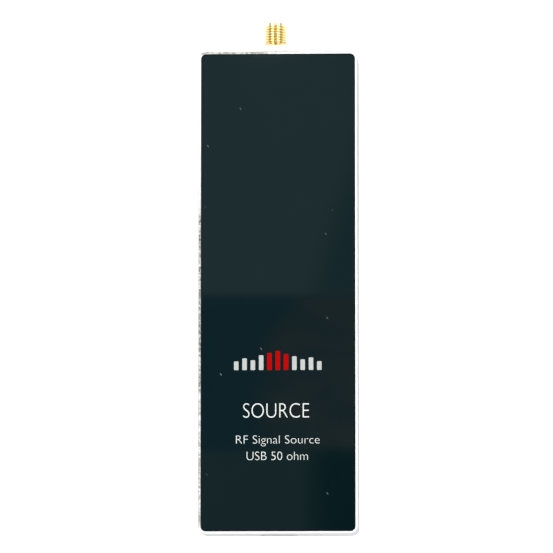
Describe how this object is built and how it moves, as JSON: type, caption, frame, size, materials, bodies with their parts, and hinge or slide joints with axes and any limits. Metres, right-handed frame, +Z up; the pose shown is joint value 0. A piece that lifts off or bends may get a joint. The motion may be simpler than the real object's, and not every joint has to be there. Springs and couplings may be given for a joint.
{
  "type": "usb signal generator",
  "caption": "Slim USB radio-frequency signal generator: silver metal case, glossy dark front plate, gold threaded coaxial jack on one end and a USB-C socket on the other.",
  "frame": {"origin": "centre of the bounding box at its base, where the feet rest, jack included", "axes": "+Y along the unit towards the coaxial jack, +Z up out of the front plate, +X to the right of the print"},
  "size_m": [0.0436, 0.1412, 0.0141],
  "materials": {
    "anodised_aluminium": "fine blasted, clear anodised",
    "front_glass": "polished, painted dark on its back",
    "bonding_tape": "black foam tape",
    "gold_plate": "gold plated, turned",
    "ptfe": "turned PTFE",
    "screw_steel": "bright zinc",
    "shell_steel": "pressed stainless",
    "foot_rubber": "matt moulded",
    "board_laminate": "solder resist over glass laminate",
    "tinned_steel": "tin plated",
    "black_resin": "moulded epoxy",
    "thermal_pad": "soft filled silicone",
    "filter_ceramic": "fired ceramic",
    "tantalum_resin": "moulded resin",
    "ferrite": "sintered"
  },
  "bodies": {
    "root": {"housing": "anodised_aluminium", "back_cover": "anodised_aluminium", "front_plate": "front_glass", "front_plate_tape": "bonding_tape", "cover_screw_1": "screw_steel", "cover_screw_2": "screw_steel", "cover_screw_3": "screw_steel", "cover_screw_4": "screw_steel", "cover_screw_5": "screw_steel", "cover_screw_6": "screw_steel", "foot_1": "foot_rubber", "foot_2": "foot_rubber", "foot_3": "foot_rubber", "foot_4": "foot_rubber", "circuit_board": "board_laminate", "board_screw_1": "screw_steel", "board_screw_2": "screw_steel", "board_screw_3": "screw_steel", "board_screw_4": "screw_steel", "rf_jack_shell": "gold_plate", "rf_jack_insulator": "ptfe", "rf_jack_contact": "gold_plate", "usb_shell": "shell_steel", "usb_tongue": "black_resin", "shield_frame": "tinned_steel", "shield_lid": "tinned_steel", "thermal_pad": "thermal_pad", "attenuator_chip": "black_resin", "amplifier_chip": "black_resin", "output_filter": "filter_ceramic", "synthesizer_chip": "black_resin", "loop_regulator": "black_resin", "reference_oscillator": "tinned_steel", "controller_chip": "black_resin", "controller_crystal": "tinned_steel", "memory_chip": "black_resin", "regulator_analog": "black_resin", "regulator_digital": "black_resin", "converter_chip": "black_resin", "converter_inductor": "ferrite", "output_capacitor": "tantalum_resin", "input_capacitor": "tantalum_resin", "ferrite_bead": "ferrite", "usb_protection_chip": "black_resin"}
  },
  "joints": []
}
